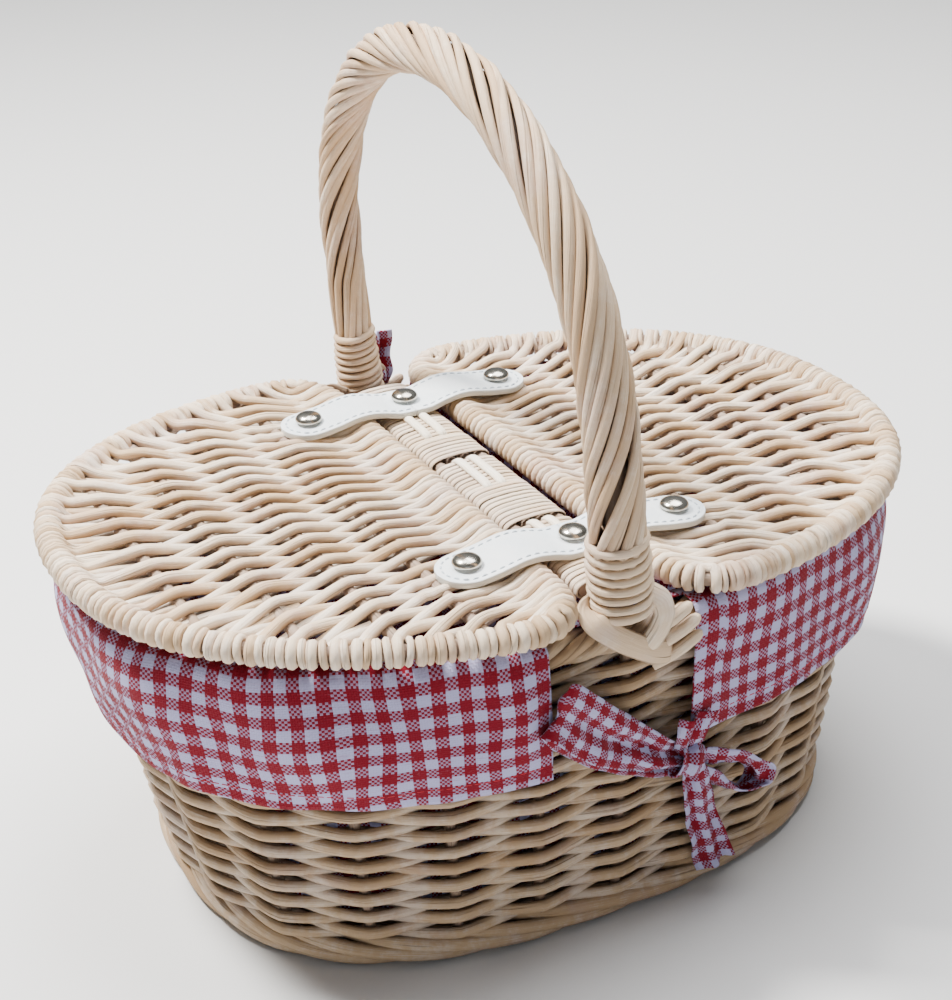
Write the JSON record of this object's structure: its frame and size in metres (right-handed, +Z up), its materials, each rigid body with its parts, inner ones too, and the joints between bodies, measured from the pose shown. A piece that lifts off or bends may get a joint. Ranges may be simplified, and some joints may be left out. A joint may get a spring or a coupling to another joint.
{
  "type": "wicker picnic basket",
  "caption": "Oval wicker picnic basket with two strap-hinged lids on a central bar, a tall roped arch handle and a checked cloth lining.",
  "frame": {"origin": "middle of the footprint, on the surface that the basket stands on", "axes": "+X from the left lid towards the right lid, +Y to the rear, +Z up"},
  "size_m": [0.3271, 0.2294, 0.3022],
  "materials": {
    "willow": "white-washed matt willow",
    "cane": "satin split cane",
    "strap": "smooth white with stitched edge",
    "rivet": "antique nickel",
    "gingham": "red and white woven check"
  },
  "bodies": {
    "basket": {"base_sticks": "willow", "base_weave": "willow", "foot_border": "willow", "side_stakes": "willow", "side_weave": "willow", "rim_border": "willow", "handle_bow": "willow", "handle_twist": "willow", "bar_rods": "willow", "handle_collar_front": "cane", "handle_collar_rear": "cane", "handle_lashing_front": "cane", "handle_lashing_rear": "cane", "bar_wrap": "cane", "bar_slips": "cane", "strap_front_centre": "strap", "strap_rear_centre": "strap", "bar_rivets": "rivet", "bar_rivet_backs": "rivet", "liner_bag": "gingham", "valance_left": "gingham", "valance_right": "gingham", "tie_front": "gingham", "tie_rear": "gingham"},
    "lid_left": {"lid_left_hoop": "willow", "lid_left_sticks": "willow", "lid_left_weave": "willow", "strap_front_left_end": "strap", "strap_rear_left_end": "strap", "lid_left_rivets": "rivet", "lid_left_rivet_backs": "rivet"},
    "lid_right": {"lid_right_hoop": "willow", "lid_right_sticks": "willow", "lid_right_weave": "willow", "strap_front_right_end": "strap", "strap_rear_right_end": "strap", "lid_right_rivets": "rivet", "lid_right_rivet_backs": "rivet"}
  },
  "joints": [
    {"name": "lid_left_hinge", "type": "hinge", "parent": "basket", "child": "lid_left", "pos_m": [-0.0135, 0, 0.141], "axis": [0, 1, 0], "range_deg": [0, 82]},
    {"name": "lid_right_hinge", "type": "hinge", "parent": "basket", "child": "lid_right", "pos_m": [0.0135, 0, 0.141], "axis": [0, -1, 0], "range_deg": [0, 95]}
  ]
}
